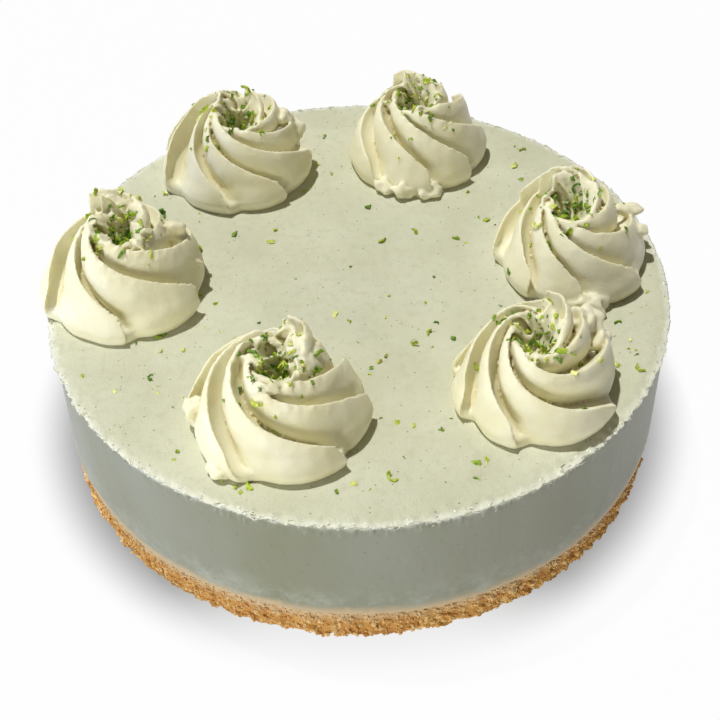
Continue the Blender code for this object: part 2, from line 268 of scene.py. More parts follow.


# Whipped cream and cheese, piped: smooth, pale lime, with a soft wet sheen. Light goes a few millimetres in.
# The deep colour is painted shade for the hollows between the blades
creamLook = {"lit": "#e5e0bb", "pale": "#ebe8cc", "deep": "#b3a15a", "cloudSize": 9 * mm, "grainSize": 0.9 * mm}


def pipedCream():
    look = creamLook
    material, tree, shader, place = newMaterial("pipedLimeCream")
    cloud = addNode(tree, "ShaderNodeTexNoise", {}, {"Vector": place, "Scale": 1 / look["cloudSize"], "Detail": 5.0})
    tint = addNode(tree, "ShaderNodeValToRGB", {"stops": [(0.35, look["lit"]), (0.7, look["pale"])]},
                   {"Fac": cloud.outputs["Fac"]})
    shape = addNode(tree, "ShaderNodeNewGeometry")
    # Painted shade: concave places darken towards the deep colour
    paintedHollowShade = addNode(tree, "ShaderNodeMapRange", {}, {
        "Value": shape.outputs["Pointiness"], "From Min": 0.49, "From Max": 0.43})
    colour = addNode(tree, "ShaderNodeMix", {"data_type": "RGBA"}, {0: paintedHollowShade, 6: tint, 7: linear(look["deep"])})
    grain = addNode(tree, "ShaderNodeTexNoise", {}, {
        "Vector": place, "Scale": 1 / look["grainSize"], "Detail": 6.0, "Roughness": 0.6})
    bump = addNode(tree, "ShaderNodeBump", {}, {
        "Strength": 0.35, "Distance": 0.3 * mm, "Height": grain.outputs["Fac"]})
    feed(tree, shader, {
        "Base Color": colour.outputs[2], "Normal": bump, "Roughness": 0.48, "IOR": 1.44,
        "Subsurface Weight": 0.2, "Subsurface Radius": (1.0, 0.85, 0.45), "Subsurface Scale": 1.6 * mm})
    return material


# Crushed biscuit bound with butter: dull, coarse, each crumb its own brown
crumbLook = {"dark": "#be8840", "mid": "#d3a359", "light": "#e6c88e", "burnt": "#965328", "soaked": "#ccb085",
             "grainSize": 0.8 * mm, "patchesPerMetre": 330.0}


def biscuitCrumb():
    look = crumbLook
    material, tree, shader, place = newMaterial("butteredBiscuitCrumb")
    tone = addNode(tree, "ShaderNodeAttribute", {"attribute_name": "tone"})
    patch = addNode(tree, "ShaderNodeTexNoise", {}, {
        "Vector": place, "Scale": look["patchesPerMetre"], "Detail": 5.0, "Roughness": 0.7})
    both = addNode(tree, "ShaderNodeMath", {"operation": "MULTIPLY_ADD"},
                   {0: tone.outputs["Fac"], 1: 0.5, 2: patch.outputs["Fac"]})
    shade = addNode(tree, "ShaderNodeMath", {"operation": "SUBTRACT"}, {0: both, 1: 0.25})
    brown = addNode(tree, "ShaderNodeValToRGB", {"stops": [(0.03, look["burnt"]), (0.2, look["dark"]),
                                                           (0.45, look["mid"]), (0.8, look["light"])]},
                    {"Fac": shade})
    # The filling soaked into the upper edge
    level = addNode(tree, "ShaderNodeSeparateXYZ", {}, {"Vector": place})
    waver = addNode(tree, "ShaderNodeMath", {"operation": "MULTIPLY_ADD"}, {
        0: patch.outputs["Fac"], 1: 6 * mm, 2: level.outputs["Z"]})
    soak = addNode(tree, "ShaderNodeMapRange", {"interpolation_type": "SMOOTHSTEP"},
                   {"Value": waver, "From Min": 8.5 * mm, "From Max": 13.5 * mm})
    soaked = addNode(tree, "ShaderNodeMix", {"data_type": "RGBA"}, {0: soak, 6: brown, 7: linear(look["soaked"])})
    grain = addNode(tree, "ShaderNodeTexNoise", {}, {
        "Vector": place, "Scale": 1 / look["grainSize"], "Detail": 6.0, "Roughness": 0.75})
    bump = addNode(tree, "ShaderNodeBump", {}, {
        "Strength": 0.7, "Distance": 0.4 * mm, "Height": grain.outputs["Fac"]})
    feed(tree, shader, {"Base Color": soaked.outputs[2], "Normal": bump, "Roughness": 0.78, "IOR": 1.45})
    return material


# Grated lime peel: waxy green outside, paler where it was cut
zestLook = {"dark": "#527b19", "green": "#84a226", "light": "#b7c63e", "pith": "#dde088"}


def limeZest():
    look = zestLook
    material, tree, shader, place = newMaterial("gratedLimePeel")
    tone = addNode(tree, "ShaderNodeAttribute", {"attribute_name": "tone"})
    mottle = addNode(tree, "ShaderNodeTexNoise", {}, {"Vector": place, "Scale": 900.0, "Detail": 3.0})
    both = addNode(tree, "ShaderNodeMath", {"operation": "MULTIPLY_ADD"},
                   {0: mottle.outputs["Fac"], 1: 1.2, 2: tone.outputs["Fac"]})
    shade = addNode(tree, "ShaderNodeMath", {"operation": "SUBTRACT"}, {0: both, 1: 0.6})
    green = addNode(tree, "ShaderNodeValToRGB", {"stops": [(0.1, look["dark"]), (0.42, look["green"]),
                                                           (0.72, look["light"]), (0.95, look["pith"])]},
                    {"Fac": shade})
    bump = addNode(tree, "ShaderNodeBump", {}, {
        "Strength": 0.4, "Distance": 0.15 * mm, "Height": mottle.outputs["Fac"]})
    feed(tree, shader, {"Base Color": green, "Normal": bump, "Roughness": 0.42, "IOR": 1.45})
    return material


def turnedBody(name, profile, steps, reshape):
    # (radius, height) pairs run from the top's middle, down the side, to the middle below
    bm = bmesh.new()
    first = bm.verts.new((0, 0, profile[0][1]))
    last = bm.verts.new((0, 0, profile[-1][1]))
    rings = []
    for radius, height in profile[1:-1]:
        ring = []
        for step in range(steps):
            angle = 2 * math.pi * step / steps
            ring.append(bm.verts.new(reshape(radius, height, angle)))
        rings.append(ring)
    for k in range(steps):
        after = (k + 1) % steps
        bm.faces.new((first, rings[0][k], rings[0][after]))
        bm.faces.new((last, rings[-1][after], rings[-1][k]))
        for upper, lower in zip(rings, rings[1:]):
            bm.faces.new((upper[k], lower[k], lower[after], upper[after]))
    mesh = bpy.data.meshes.new(name)
    bm.to_mesh(mesh)
    bm.free()
    mesh.polygons.foreach_set("use_smooth", [True] * len(mesh.polygons))
    return newPiece(name, mesh)


# The filling's body, with the rim torn where the ring was lifted off
fillingShape = {
    "steps": 1100,
    "lip": 1.0 * mm,  # how far torn skin hangs out over the side
    "chip": 1.4 * mm,  # deepest bite out of the rim
    "ridge": 0.35 * mm,
    "slump": 0.55 * mm,  # how far the rim rounds down
    "lipDepth": 1.5 * mm,
    "coarse": 7 * mm,  # sizes of the tears along the rim
    "fine": 1.9 * mm,
    "finest": 0.8 * mm,
    "raggedTowards": [-42, -95, -155],  # degrees, where it tore most
    "raggedReach": 28,
    "tornWidth": 1.7 * mm,  # of the whitish, torn skin
}


def rimTear(angle):
    shape = fillingShape
    gain = 0.45
    for towards in shape["raggedTowards"]:
        away = (math.degrees(angle) - towards + 180) % 360 - 180
        gain += 0.75 * math.exp(-((away / shape["raggedReach"]) ** 2))
    around = Vector((math.cos(angle), math.sin(angle), 0)) * cakeRadius
    coarse, fine, finest = [noise.noise(around / shape[size]) for size in ("coarse", "fine", "finest")]
    out = shape["lip"] * gain * max(0.35 + coarse * 0.7 + fine * 0.55 + finest * 0.25, 0)
    bite = shape["chip"] * gain * max(-(noise.noise(around / (9 * mm) + Vector((5, 0, 0))) + 0.6 * fine) - 0.35, 0)
    return out, bite, gain


def rimShape(radius, height, angle):
    shape = fillingShape
    out, bite, gain = rimTear(angle)
    inside = cakeRadius - radius
    spot = Vector((radius * math.cos(angle), radius * math.sin(angle), height))
    if height > cakeTop - 0.01 * mm:  # the top's skin
        near = max(1 - inside / (5 * mm), 0)
        height -= shape["slump"] * near ** 2 + bite * near ** 3 * 0.5
        height += shape["ridge"] * gain * near * noise.noise(spot / (2.2 * mm))
        height += 0.10 * mm * noise.noise(spot / (14 * mm))
        radius += (out - bite) * max(1 - inside / (1.6 * mm), 0)
    else:  # the side, with the lip hanging over it
        below = cakeTop - height
        hang = max(1 - below / shape["lipDepth"], 0) ** 1.4
        radius += (out - bite) * hang - 0.35 * mm * min(below / shape["lipDepth"], 1)
        height -= hang * (shape["slump"] + bite * 0.5)
        radius += 0.35 * mm * noise.noise(Vector((spot.x, spot.y, spot.z * 0.3)) / (30 * mm))
        rough = max(1 - below / (5.5 * mm), 0)
        radius += (0.08 + 0.35 * rough * gain) * mm * noise.noise(spot / (1.7 * mm))
    return radius * math.cos(angle), radius * math.sin(angle), height


def makeFilling(material):
    profile = [(0, cakeTop)]
    profile += [(r * mm, cakeTop) for r in (4, 12, 20, 28, 36, 44, 52, 60, 66, 72, 76, 79, 81, 83, 84.5)]
    profile += [(85.5 * mm + k * 0.3 * mm, cakeTop) for k in range(16)]
    profile += [(cakeRadius, cakeTop - d * mm) for d in (0.15, 0.35, 0.6, 0.9, 1.2, 1.6, 2.1, 2.8, 3.8)]
    sideStart = cakeTop - 5 * mm
    profile += [(cakeRadius, sideStart + (crumbTop + layerGap - sideStart) * k / 22) for k in range(23)]
    profile += [(cakeRadius - 1 * mm, crumbTop), (0, crumbTop)]
    piece = turnedBody("fillingBody", profile, fillingShape["steps"], rimShape)
    shares = []
    for vertex in piece.data.vertices:
        spot = vertex.co
        radius = math.hypot(spot.x, spot.y)
        fray = 0.9 * mm * noise.noise(spot / (2.5 * mm)) + 0.5 * mm * noise.noise(spot / (0.9 * mm))
        fromEdge = abs(radius - cakeRadius + 0.2 * mm) + max(cakeTop - 1.2 * mm - spot.z, 0) * 1.2 + fray
        shares.append(max(min(1 - fromEdge / fillingShape["tornWidth"], 1), 0) * 0.65)
    piece.data.attributes.new("torn", "FLOAT", "POINT").data.foreach_set("value", shares)
    piece.data.materials.append(material)
    handOver(piece, "lime_filling", "filling")
    return piece


# Strands of torn skin that hang along the rim, slanting
shredSizes = {"Density": 800000.0, "Size": 0.85, "Seed": 12}


def shredTree(material):
    tree, given = newTree("tornSkin", {"Surface": "Object", "Density": "Float", "Size": "Float", "Seed": "Int"})
    surface = addNode(tree, "GeometryNodeObjectInfo", {}, {"Object": given["Surface"]})
    torn = addNode(tree, "GeometryNodeInputNamedAttribute", {}, {"Name": "torn"})
    frayed = addNode(tree, "ShaderNodeMapRange", {}, {"Value": torn, "From Min": 0.1, "From Max": 0.65})
    density = addNode(tree, "ShaderNodeMath", {"operation": "MULTIPLY"}, {0: frayed, 1: given["Density"]})
    scatter = addNode(tree, "GeometryNodeDistributePointsOnFaces", {}, {
        "Mesh": surface.outputs["Geometry"], "Density": density, "Seed": given["Seed"]})
    # Along the rim, leaning down to one side
    spot = addNode(tree, "GeometryNodeInputPosition")
    along = addNode(tree, "ShaderNodeVectorMath", {"operation": "CROSS_PRODUCT"}, {0: (0.0, 0.0, 1.0), 1: spot})
    level = addNode(tree, "FunctionNodeAlignRotationToVector", {"axis": "X", "pivot_axis": "Z"},
                    {"Rotation": scatter.outputs["Rotation"], "Vector": along})
    slant = addNode(tree, "FunctionNodeRandomValue", {"data_type": "FLOAT_VECTOR"},
                    {0: (-0.3, -0.15, -0.35), 1: (0.3, 0.15, 0.75), "Seed": 41})
    turned = addNode(tree, "FunctionNodeRotateRotation", {"rotation_space": "LOCAL"},
                     {"Rotation": level, "Rotate By": slant})
    strand = curledStrip(tree, bend=3.5 * mm, sweep=34, steps=6, drop=3.4 * mm, section=(0.34 * mm, 0.2 * mm),
                         taper=[(0, 0.1), (0.3, 1), (0.6, 0.8), (1, 0.1)])
    size = addNode(tree, "FunctionNodeRandomValue", {"data_type": "FLOAT_VECTOR"},
                   {0: (0.3, 0.6, 0.6), 1: (1.15, 1.3, 1.5), "Seed": 42})
    scaled = addNode(tree, "ShaderNodeVectorMath", {"operation": "SCALE"}, {0: size, "Scale": given["Size"]})
    strands = addNode(tree, "GeometryNodeInstanceOnPoints", {}, {
        "Points": scatter.outputs["Points"], "Instance": strand, "Rotation": turned,
        "Scale": scaled})
    endTree(tree, bendLoose(tree, strands, perMetre=500.0, detail=1.0, by=0.5 * mm), material)
    return tree


def makeShreds(surface, material):
    piece = newPiece("rimShreds")
    growNodes(piece, shredTree(material), {**shredSizes, "Surface": surface})
    settle(piece, smooth=False)
    handOver(piece, "lime_filling")


# The crumb base's body: crags between crumbs, in the round
crumbShape = {"steps": 900, "crag": 1.5 * mm, "cragSize": 2.6 * mm, "foot": 0.5 * mm}


def cragShape(radius, height, angle):
    shape = crumbShape
    spot = Vector((radius * math.cos(angle), radius * math.sin(angle), height))
    if radius > crumbRadius - 2 * mm:
        lump = noise.noise(spot / shape["cragSize"]) + 0.6 * noise.noise(spot / (0.45 * shape["cragSize"]))
        low = 1 - height / crumbTop
        radius += shape["crag"] * (0.6 * lump - 0.12) * (0.5 + 0.8 * low) - shape["foot"] * max(low - 0.8, 0) * 3
        if height < 2 * mm:
            height += 0.7 * mm * max(noise.noise(spot / (4 * mm)), 0)
    return radius * math.cos(angle), radius * math.sin(angle), height


def makeCrumbBody(material):
    top = crumbTop - layerGap
    profile = [(0, top)] + [(r * mm, top) for r in (30, 60, 80, 86)]
    profile += [(crumbRadius, top * (1 - k / 18)) for k in range(19)]
    profile += [(r * mm, 0.0) for r in (86, 80, 50, 20)] + [(0, 0)]
    piece = turnedBody("crumbBody", profile, crumbShape["steps"], cragShape)
    piece.data.materials.append(material)
    handOver(piece, "biscuit_crumb", "crumb_base")
    return piece


# Single crumbs pressed into the side of the base
crumbSizes = {"Spacing": 0.76 * mm, "Smallest": 0.4 * mm, "Largest": 1.1 * mm, "Roughness": 0.3 * mm, "Seed": 4}


def crumbTree(material):
    tree, given = newTree("pressedCrumbs", {"Body": "Object", "Spacing": "Float", "Smallest": "Float",
                                            "Largest": "Float", "Roughness": "Float", "Seed": "Int"})
    body = addNode(tree, "GeometryNodeObjectInfo", {}, {"Object": given["Body"]})
    facing = addNode(tree, "ShaderNodeSeparateXYZ", {}, {"Vector": addNode(tree, "GeometryNodeInputNormal")})
    level = addNode(tree, "ShaderNodeMath", {"operation": "ABSOLUTE"}, {0: facing.outputs["Z"]})
    sideways = addNode(tree, "FunctionNodeCompare", {"operation": "LESS_THAN"}, {0: level, 1: 0.8})
    scatter = addNode(tree, "GeometryNodeDistributePointsOnFaces", {"distribute_method": "POISSON"},
                      {"Mesh": body.outputs["Geometry"], "Selection": sideways,
                       "Distance Min": given["Spacing"], "Density Max": 900000.0, "Seed": given["Seed"]})
    ball = addNode(tree, "GeometryNodeMeshIcoSphere", {}, {"Radius": 1.0, "Subdivisions": 1})
    size = addNode(tree, "FunctionNodeRandomValue", {}, {2: 0.0, 3: 1.0, "Seed": given["Seed"]})
    skew = addNode(tree, "ShaderNodeMath", {"operation": "POWER"}, {0: size.outputs[1], 1: 2.6})
    spread = addNode(tree, "ShaderNodeMapRange", {}, {
        "Value": skew, "To Min": given["Smallest"], "To Max": given["Largest"]})
    squash = addNode(tree, "FunctionNodeRandomValue", {"data_type": "FLOAT_VECTOR"},
                     {0: (0.7, 0.7, 0.55), 1: (1.2, 1.2, 1.0), "Seed": 21})
    form = addNode(tree, "ShaderNodeVectorMath", {"operation": "SCALE"}, {0: squash, "Scale": spread})
    turn = addNode(tree, "FunctionNodeRandomValue", {"data_type": "FLOAT_VECTOR"},
                   {0: (0.0, 0.0, 0.0), 1: (6.28, 6.28, 6.28), "Seed": 22})
    crumbs = addNode(tree, "GeometryNodeInstanceOnPoints", {}, {
        "Points": scatter.outputs["Points"], "Instance": ball.outputs["Mesh"],
        "Rotation": turn, "Scale": form})
    real = addNode(tree, "GeometryNodeRealizeInstances", {}, {"Geometry": giveTones(tree, crumbs, seed=23)})
    lumps = addNode(tree, "ShaderNodeTexNoise", {"normalize": False}, {"Scale": 800.0, "Detail": 2.0})
    push = addNode(tree, "ShaderNodeMath", {"operation": "MULTIPLY"}, {
        0: lumps.outputs["Fac"], 1: given["Roughness"]})
    along = addNode(tree, "ShaderNodeVectorMath", {"operation": "SCALE"},
                    {0: addNode(tree, "GeometryNodeInputNormal"), "Scale": push})
    rough = addNode(tree, "GeometryNodeSetPosition", {}, {"Geometry": real, "Offset": along})
    # None reaches below the table
    spot = addNode(tree, "GeometryNodeInputPosition")
    apart = addNode(tree, "ShaderNodeSeparateXYZ", {}, {"Vector": spot})
    above = addNode(tree, "ShaderNodeMath", {"operation": "MAXIMUM"}, {0: apart.outputs["Z"], 1: 0.0})
    footed = addNode(tree, "ShaderNodeCombineXYZ", {}, {
        "X": apart.outputs["X"], "Y": apart.outputs["Y"], "Z": above})
    stood = addNode(tree, "GeometryNodeSetPosition", {}, {"Geometry": rough, "Position": footed})
    endTree(tree, stood, material)
    return tree


def makeCrumbs(body, material):
    piece = newPiece("crumbs")
    growNodes(piece, crumbTree(material), {**crumbSizes, "Body": body})
    settle(piece, smooth=False)
    handOver(piece, "biscuit_crumb")


# A star nozzle that circles leaves a dome of blades: they wind from the hollow in the crown out to the foot.
# Directions are degrees on the cake, lengths are millimetres.
# "at" is direction and distance on the cake, "step" and "tip" are shares by which the crown climbs round and leans
# open towards "openTo", and "lumps" are places and half sizes of cream that broke off a blade.
swirls = [
    {"at": (180.6, 68.6), "foot": 24.2, "height": 23.5, "blades": 5, "winds": 180, "first": 30, "step": 0.28,
     "end": 110, "tip": 0.10, "openTo": -60, "aside": (0.5, 3.5), "tear": 1.2, "shards": 10, "seed": 1,
     "lumps": [(19.0, 3.0, 8.0, 4.5, 3.0, 2.2), (16.0, 7.0, 15.5, 4.0, 3.0, 4.5)]},
    {"at": (124.5, 66.8), "foot": 23.4, "height": 22.5, "blades": 8, "winds": 135, "first": 0, "step": 0.20,
     "end": 60, "tip": 0.14, "openTo": -60, "aside": (1.5, 1.0), "tear": 0.5, "shards": 3, "seed": 2,
     "lumps": [(20.0, 0.0, 6.5, 4.0, 3.0, 2.6), (19.0, 6.0, 12.0, 3.5, 3.0, 3.0),
               (15.0, 5.0, 17.0, 3.5, 3.0, 3.0)]},
    {"at": (72.8, 65.0), "foot": 22.8, "height": 22.6, "blades": 7, "winds": 125, "first": 40, "step": 0.24,
     "end": 110, "tip": 0.08, "openTo": -80, "aside": (0.0, 1.0), "tear": 0.8, "shards": 5, "seed": 3,
     "lumps": [(-4.0, -20.5, 2.0, 4.0, 3.5, 3.0), (3.0, -21.0, 1.6, 4.5, 3.5, 2.6),
               (-10.0, -18.0, 1.6, 3.5, 3.5, 2.6)]},
    {"at": (7.6, 64.0), "foot": 23.4, "height": 22.5, "blades": 6, "winds": 155, "first": 10, "step": 0.26,
     "end": 120, "tip": 0.12, "openTo": -110, "aside": (-1.5, 2.0), "tear": 0.7, "shards": 4, "seed": 4,
     "lumps": [(2.0, -22.0, 1.8, 5.5, 4.0, 3.2), (18.5, 3.0, 8.5, 4.5, 2.6, 2.0),
               (17.0, 9.5, 11.0, 4.5, 2.6, 2.0)]},
    {"at": (-43.8, 64.6), "foot": 23.0, "height": 21.0, "blades": 7, "winds": 140, "first": 30, "step": 0.22,
     "end": 60, "tip": 0.14, "openTo": -90, "aside": (0.0, 1.5), "tear": 0.5, "shards": 3, "seed": 5,
     "lumps": [(14.0, 11.0, 15.0, 4.5, 4.0, 4.0), (17.0, 8.0, 11.5, 4.0, 3.5, 3.0)]},
    {"at": (-112.0, 58.0), "foot": 24.6, "height": 22.0, "blades": 6, "winds": 170, "first": 10, "step": 0.30,
     "end": 60, "tip": 0.10, "openTo": -70, "aside": (0.0, 2.5), "tear": 1.2, "shards": 12, "seed": 6,
     "lumps": [(-22.5, -1.0, 6.0, 3.2, 3.2, 4.0), (-15.0, -18.0, 1.6, 3.5, 3.0, 2.4)]},
]
swirlShape = {
    # Rings of the dome: shares of the foot's radius, of the height and of a blade's winding, and the grooves' depth
    "rings": [(0.00, 0.58, -0.50, 0.0), (0.11, 0.64, -0.34, 0.8), (0.19, 0.84, -0.16, 1.8), (0.27, 1.00, 0.00, 2.6),
              (0.38, 1.01, 0.20, 4.4), (0.55, 0.89, 0.46, 6.2), (0.74, 0.69, 0.70, 7.2), (0.90, 0.46, 0.88, 6.8),
              (0.99, 0.25, 0.98, 4.4), (1.00, 0.11, 1.03, 2.8), (0.93, -0.06, 1.06, 1.8)],
    "crownRing": 3,
    "steps": 12,  # from one ring to the next
    "columns": 480,
    "crest": 0.78,  # a blade swells slowly up to here, then drops
    "bulge": 1.9,  # how full the swelling is
    "lean": 0.34,  # how far a crest hangs over the next groove, in blade widths
    "uneven": 0.24,
    "unlike": (15, 7),  # degrees by which blades differ in width, once and twice round
    "waves": ((0.5, 9), (0.16, 3)),  # height and size
    "tears": ((1.1, 2.2), (0.7, 1.0)),
    "voxel": 0.45 * mm,
    "softens": 2,
    "shardReach": 9.0 * mm,  # from the crown's middle
    "shardArea": 0.0009,  # square metres of crown that share the shards
}


def between(rows, place):  # a smooth line through the rows
    k = min(int(place), len(rows) - 2)
    t = place - k
    before, after = rows[max(k - 1, 0)], rows[min(k + 2, len(rows) - 1)]
    row = []
    for a, b, c, d in zip(before, rows[k], rows[k + 1], after):
        row.append(b + 0.5 * t * (c - a + t * (2 * a - 5 * b + 4 * c - d + t * (3 * (b - c) + d - a))))
    return row


def swirlRings(swirl):
    shape = swirlShape
    rows = shape["rings"]
    blades = swirl["blades"]
    draw = random.Random(swirl["seed"])
    thick = [1 + draw.uniform(-shape["uneven"], shape["uneven"]) for blade in range(blades)]
    aside = Vector((*swirl["aside"], 0))
    seed = Vector((0, 0, 40 * swirl["seed"]))
    for ring in range(shape["steps"] * (len(rows) - 1) + 1):
        place = ring / shape["steps"]
        wide, high, wound, depth = between(rows, place)
        inner, outer = between(rows, max(place - 0.3, 0)), between(rows, min(place + 0.3, len(rows) - 1))
        outward = Vector((swirl["height"] * (inner[1] - outer[1]), swirl["foot"] * (outer[0] - inner[0])))
        outward.normalize()
        crown = max(1 - abs(place - shape["crownRing"]) / 3.5, 0)
        points = []
        for column in range(shape["columns"]):
            turn = 360 * column / shape["columns"]
            unlike = shape["unlike"][0] * math.sin(math.radians(turn) + 2.1 * swirl["seed"])
            unlike += shape["unlike"][1] * math.sin(math.radians(2 * turn) + swirl["seed"])
            blade = (turn + unlike - swirl["first"] - wound * swirl["winds"]) * blades / 360
            across = blade % 1
            if across < shape["crest"]:
                rise = 1 - (1 - across / shape["crest"]) ** shape["bulge"]
            else:
                t = (across - shape["crest"]) / (1 - shape["crest"])
                rise = 1 - t * t * (3 - 2 * t)
            groove = depth * (rise * thick[math.floor(blade) % blades] - 1)
            radius = max(swirl["foot"] * wide + outward.x * groove, 0)
            level = swirl["height"] * high + outward.y * groove
            # The cream climbs as it goes round and ends in a step, and the crown opens to one side
            climb = ((turn - swirl["end"]) / 360) % 1
            lift = swirl["step"] * (climb - 0.5) - swirl["tip"] * math.cos(math.radians(turn - swirl["openTo"]))
            level *= 1 + lift * max(math.sin(math.pi * min(wide, 1)), 0) ** 0.7
            lean = shape["lean"] * 360 / blades * rise ** 3 * min(wide * 3, max(high * 2.5, 0), 1)
            angle = math.radians(turn + lean)
            spot = Vector((radius * math.cos(angle), radius * math.sin(angle), level))
            spot += aside * max(level / swirl["height"], 0)
            # Soft waves along the blades, and crests that tore in the crown
            push = sum(much * noise.noise((spot + seed) / size) for much, size in shape["waves"])
            tear = sum(much * noise.noise((spot + seed) / size) for much, size in shape["tears"])
            push += swirl["tear"] * crown * rise ** 4 * tear
            way = Vector((outward.x * math.cos(angle), outward.x * math.sin(angle), outward.y))
            spot += way * push * min(place, 1)
            points.append(spot * mm)
        yield points


def swirlSpot(swirl, aside, level):
    angle, distance = math.radians(swirl["at"][0]), swirl["at"][1] * mm
    return Vector((distance * math.cos(angle) + aside[0] * mm, distance * math.sin(angle) + aside[1] * mm, level))


def crownSpot(swirl):
    return swirlSpot(swirl, swirl["aside"], cakeTop + swirl["height"] * 0.9 * mm)


def swirlMesh(name, swirl):
    middle = swirlSpot(swirl, (0, 0), cakeTop - 0.1 * mm)  # sunk a little into the filling
    bm = bmesh.new()
    rings = []
    for points in swirlRings(swirl):
        rings.append([bm.verts.new(Vector((spot.x, spot.y, max(spot.z, 0))) + middle) for spot in points])
    for upper, lower in zip(rings, rings[1:]):
        for k in range(len(upper)):
            after = (k + 1) % len(upper)
            bm.faces.new((upper[k], lower[k], lower[after], upper[after]))
    bm.faces.new(reversed(rings[-1]))
    bm.faces.new(rings[0])
    for x, y, z, wide, deep, high in swirl["lumps"]:
        for vertex in bmesh.ops.create_icosphere(bm, subdivisions=4, radius=1.0)["verts"]:
            spot = Vector((vertex.co.x * wide, vertex.co.y * deep, vertex.co.z * high))
            spot *= 1 + 0.45 * noise.noise(spot / 2.4 + Vector((x, y, 9 * swirl["seed"])))
            spot += Vector((x, y, z))
            vertex.co = Vector((spot.x, spot.y, max(spot.z, 0))) * mm + middle
    mesh = bpy.data.meshes.new(name)
    bm.to_mesh(mesh)
    bm.free()
    return mesh


def swirlTree(material):
    tree, given = newTree("brokenCrown", {"Dome": "Object", "Middle": "Vector", "Reach": "Float", "Shards": "Float",
                                          "Seed": "Int"})
    dome = addNode(tree, "GeometryNodeObjectInfo", {}, {"Object": given["Dome"]})
    spot = addNode(tree, "GeometryNodeInputPosition")
    # Broken shards that stand up in the crown
    away = addNode(tree, "ShaderNodeVectorMath", {"operation": "DISTANCE"}, {0: spot, 1: given["Middle"]})
    near = addNode(tree, "FunctionNodeCompare", {"operation": "LESS_THAN"}, {
        0: away.outputs["Value"], 1: given["Reach"]})
    spots = addNode(tree, "GeometryNodeDistributePointsOnFaces", {}, {
        "Mesh": dome.outputs["Geometry"], "Selection": near, "Density": given["Shards"], "Seed": given["Seed"]})
    ball = addNode(tree, "GeometryNodeMeshIcoSphere", {}, {"Radius": 1.0 * mm, "Subdivisions": 3})
    shardSize = addNode(tree, "FunctionNodeRandomValue", {"data_type": "FLOAT_VECTOR"},
                        {0: (1.3, 0.5, 1.5), 1: (3.0, 0.9, 3.0), "Seed": given["Seed"]})
    shardTurn = addNode(tree, "FunctionNodeRandomValue", {"data_type": "FLOAT_VECTOR"},
                        {0: (-0.5, -0.5, 0.0), 1: (0.5, 0.5, 6.28), "Seed": 5})
    shards = addNode(tree, "GeometryNodeInstanceOnPoints", {}, {
        "Points": spots.outputs["Points"], "Instance": ball.outputs["Mesh"],
        "Rotation": shardTurn, "Scale": shardSize})
    joined = addNode(tree, "GeometryNodeJoinGeometry")
    feed(tree, joined, {0: dome.outputs["Geometry"]})
    feed(tree, joined, {0: bendLoose(tree, shards, perMetre=260.0, detail=2.0, by=2.0 * mm)})
    endTree(tree, joined, material)
    return tree


def makeSwirl(number, swirl, tree, material):
    dome = newPiece(f"swirlDome{number}", swirlMesh(f"swirlDome{number}", swirl))
    piece = newPiece(f"swirl{number}")
    growNodes(piece, tree, {
        "Dome": dome, "Middle": crownSpot(swirl), "Reach": swirlShape["shardReach"],
        "Shards": swirl["shards"] / swirlShape["shardArea"], "Seed": swirl["seed"]})
    remesh = piece.modifiers.new("oneBody", "REMESH")
    remesh.mode = "VOXEL"
    remesh.voxel_size = swirlShape["voxel"]
    soften = piece.modifiers.new("soften", "SMOOTH")
    soften.factor = 0.5
    soften.iterations = swirlShape["softens"]
    settle(piece)
    bpy.data.objects.remove(dome)
    piece.data.materials.clear()
    piece.data.materials.append(material)
    handOver(piece, "piped_cream", f"swirl_{number}")
    return piece


# Grated zest: slivers, curls and small flecks, thickest round the swirls' middles
zestOnTop = {"Density": 24000.0, "Spread": 10.0 * mm, "Nearest": 25.0 * mm, "Furthest": 86 * mm,
             "Size": 1.2, "Seed": 7}
zestInFront = {"Density": 7500.0, "Spread": 20.0 * mm, "Nearest": 0.0, "Furthest": 84 * mm, "Size": 1.35, "Seed": 8}
zestOnSwirl = {"Density": 1100000.0, "Spread": 3.2 * mm, "Nearest": 0.0, "Furthest": 200 * mm, "Size": 1.25}
zestForms = [  # bend, width and thickness in mm, sweep in degrees, steps: sliver, curl, fleck, hook and chip
    {"bend": 2.4, "sweep": 50, "wide": 1.0, "thick": 0.4, "steps": 5},
    {"bend": 1.0, "sweep": 190, "wide": 0.75, "thick": 0.35, "steps": 9},
    {"bend": 1.6, "sweep": 34, "wide": 0.9, "thick": 0.5, "steps": 3},
    {"bend": 1.5, "sweep": 95, "wide": 1.0, "thick": 0.4, "steps": 6},
    {"bend": 1.1, "sweep": 50, "wide": 1.1, "thick": 0.5, "steps": 3},
]
frontSpot = (14 * mm, -48 * mm, cakeTop)


